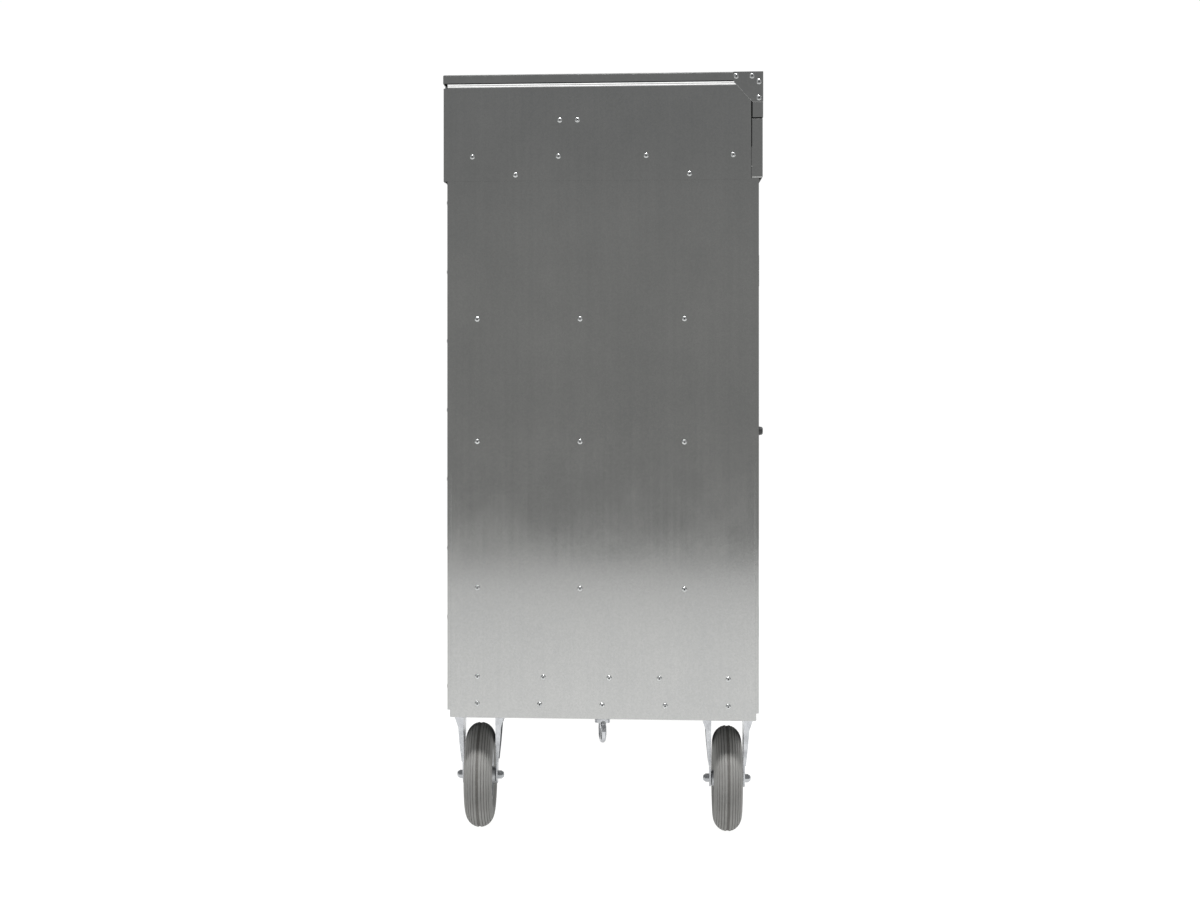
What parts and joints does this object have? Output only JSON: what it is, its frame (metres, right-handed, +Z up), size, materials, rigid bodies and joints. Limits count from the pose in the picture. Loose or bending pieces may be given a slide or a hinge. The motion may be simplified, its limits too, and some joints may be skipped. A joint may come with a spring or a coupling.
{
  "type": "rolling tool chest",
  "caption": "Tall galvanised steel tool chest on castors, with a lidded top compartment, two front doors and shelves.",
  "frame": {"origin": "on the floor under the middle of the chest", "axes": "+Z up, X along the chest with the fixed castors at -X and the swivel castors at +X, doors and lid front towards -Y"},
  "size_m": [2, 0.78, 1.871],
  "materials": {
    "galvanised": "galvanised sheet, satin, soft blurred reflections",
    "zinc_plate": "bright zinc plating",
    "grey_tyre": "matt grey puncture-proof foam tyre, ribbed",
    "rim": "satin silver paint",
    "handle_black": "black powder coat",
    "pedal_red": "red powder coat"
  },
  "bodies": {
    "cabinet": {"floor_pan": "galvanised", "inner_floor": "galvanised", "back_panel": "galvanised", "door_header": "galvanised", "top_tray": "galvanised", "hood_back_panel": "galvanised", "hood_front_panel": "galvanised", "lid_hinge_base": "zinc_plate", "lashing_eye": "zinc_plate", "left_end_panel": "galvanised", "left_hood_cheek": "galvanised", "left_prop_bracket": "zinc_plate", "left_shelf_rail_low": "galvanised", "left_shelf_rail_middle": "galvanised", "left_shelf_rail_high": "galvanised", "left_hinge_pin_low": "zinc_plate", "left_hinge_pin_high": "zinc_plate", "right_end_panel": "galvanised", "right_hood_cheek": "galvanised", "right_prop_bracket": "zinc_plate", "right_shelf_rail_low": "galvanised", "right_shelf_rail_middle": "galvanised", "right_shelf_rail_high": "galvanised", "right_hinge_pin_low": "zinc_plate", "right_hinge_pin_high": "zinc_plate", "shelf_low": "galvanised", "shelf_middle": "galvanised", "shelf_high": "galvanised", "fixed_front_fork": "zinc_plate", "fixed_back_fork": "zinc_plate", "fixed_front_axle": "zinc_plate", "fixed_back_axle": "zinc_plate", "swivel_front_plate": "zinc_plate", "swivel_back_plate": "zinc_plate"},
    "lid": {"lid_panel": "galvanised", "lid_hinge_leaf": "zinc_plate", "left_lid_gusset": "galvanised", "right_lid_gusset": "galvanised"},
    "left_prop": {"left_prop_rod": "zinc_plate"},
    "right_prop": {"right_prop_rod": "zinc_plate"},
    "left_door_body": {"left_door": "galvanised"},
    "right_door_body": {"right_door": "galvanised"},
    "handle": {"turn_handle": "handle_black", "scroll_cam": "zinc_plate"},
    "upper_rod": {"upper_lock_rod": "zinc_plate"},
    "lower_rod": {"lower_lock_rod": "zinc_plate"},
    "fixed_front_wheel": {"fixed_front_rim": "rim", "fixed_front_tyre": "grey_tyre"},
    "swivel_front_yoke": {"swivel_front_fork": "zinc_plate", "swivel_front_axle": "zinc_plate"},
    "swivel_front_wheel": {"swivel_front_rim": "rim", "swivel_front_tyre": "grey_tyre"},
    "swivel_front_brake": {"swivel_front_pedal": "pedal_red"},
    "fixed_back_wheel": {"fixed_back_rim": "rim", "fixed_back_tyre": "grey_tyre"},
    "swivel_back_yoke": {"swivel_back_fork": "zinc_plate", "swivel_back_axle": "zinc_plate"},
    "swivel_back_wheel": {"swivel_back_rim": "rim", "swivel_back_tyre": "grey_tyre"},
    "swivel_back_brake": {"swivel_back_pedal": "pedal_red"}
  },
  "joints": [
    {"name": "lid_hinge", "type": "hinge", "parent": "cabinet", "child": "lid", "pos_m": [0, 0.3845, 1.8445], "axis": [-1, 0, 0], "range_deg": [0, 75]},
    {"name": "left_prop_swing", "type": "hinge", "parent": "cabinet", "child": "left_prop", "pos_m": [-0.9762, 0.082, 1.758], "axis": [-1, 0, 0], "range_deg": [0, 125.1]},
    {"name": "right_prop_swing", "type": "hinge", "parent": "cabinet", "child": "right_prop", "pos_m": [0.9762, 0.082, 1.758], "axis": [-1, 0, 0], "range_deg": [0, 125.1]},
    {"name": "left_door_hinge", "type": "hinge", "parent": "cabinet", "child": "left_door_body", "pos_m": [-0.9516, -0.3795, 0.96], "axis": [0, 0, -1], "range_deg": [0, 135]},
    {"name": "right_door_hinge", "type": "hinge", "parent": "cabinet", "child": "right_door_body", "pos_m": [0.9516, -0.3795, 0.96], "axis": [0, 0, 1], "range_deg": [0, 135]},
    {"name": "handle_turn", "type": "hinge", "parent": "right_door_body", "child": "handle", "pos_m": [0.095, -0.3585, 1], "axis": [0, 1, 0], "range_deg": [0, 90]},
    {"name": "upper_rod_slide", "type": "slide", "parent": "right_door_body", "child": "upper_rod", "axis": [0, 0, 1], "range_m": [0, 0.01801]},
    {"name": "lower_rod_slide", "type": "slide", "parent": "right_door_body", "child": "lower_rod", "axis": [0, 0, -1], "range_m": [0, 0.01801]},
    {"name": "fixed_front_spin", "type": "hinge", "parent": "cabinet", "child": "fixed_front_wheel", "pos_m": [-0.8634, -0.308, 0.13], "axis": [0, 1, 0], "continuous": true},
    {"name": "swivel_front_turn", "type": "hinge", "parent": "cabinet", "child": "swivel_front_yoke", "pos_m": [0.8634, -0.308, 0.2715], "axis": [0, 0, 1], "continuous": true},
    {"name": "swivel_front_spin", "type": "hinge", "parent": "swivel_front_yoke", "child": "swivel_front_wheel", "pos_m": [0.8084, -0.308, 0.13], "axis": [0, 1, 0], "continuous": true},
    {"name": "swivel_front_pedal_press", "type": "hinge", "parent": "swivel_front_yoke", "child": "swivel_front_brake", "pos_m": [0.7584, -0.308, 0.2615], "axis": [0, -1, 0], "range_deg": [0, 8]},
    {"name": "fixed_back_spin", "type": "hinge", "parent": "cabinet", "child": "fixed_back_wheel", "pos_m": [-0.8634, 0.308, 0.13], "axis": [0, 1, 0], "continuous": true},
    {"name": "swivel_back_turn", "type": "hinge", "parent": "cabinet", "child": "swivel_back_yoke", "pos_m": [0.8634, 0.308, 0.2715], "axis": [0, 0, 1], "continuous": true},
    {"name": "swivel_back_spin", "type": "hinge", "parent": "swivel_back_yoke", "child": "swivel_back_wheel", "pos_m": [0.8084, 0.308, 0.13], "axis": [0, 1, 0], "continuous": true},
    {"name": "swivel_back_pedal_press", "type": "hinge", "parent": "swivel_back_yoke", "child": "swivel_back_brake", "pos_m": [0.7584, 0.308, 0.2615], "axis": [0, -1, 0], "range_deg": [0, 8]}
  ],
  "couplings": [
    {"joint": "left_prop_swing", "follows": "lid_hinge", "ratio": 1.6667},
    {"joint": "right_prop_swing", "follows": "lid_hinge", "ratio": 1.6667},
    {"joint": "upper_rod_slide", "follows": "handle_turn", "m_per_rad": 0.011459},
    {"joint": "lower_rod_slide", "follows": "handle_turn", "m_per_rad": 0.011459}
  ]
}
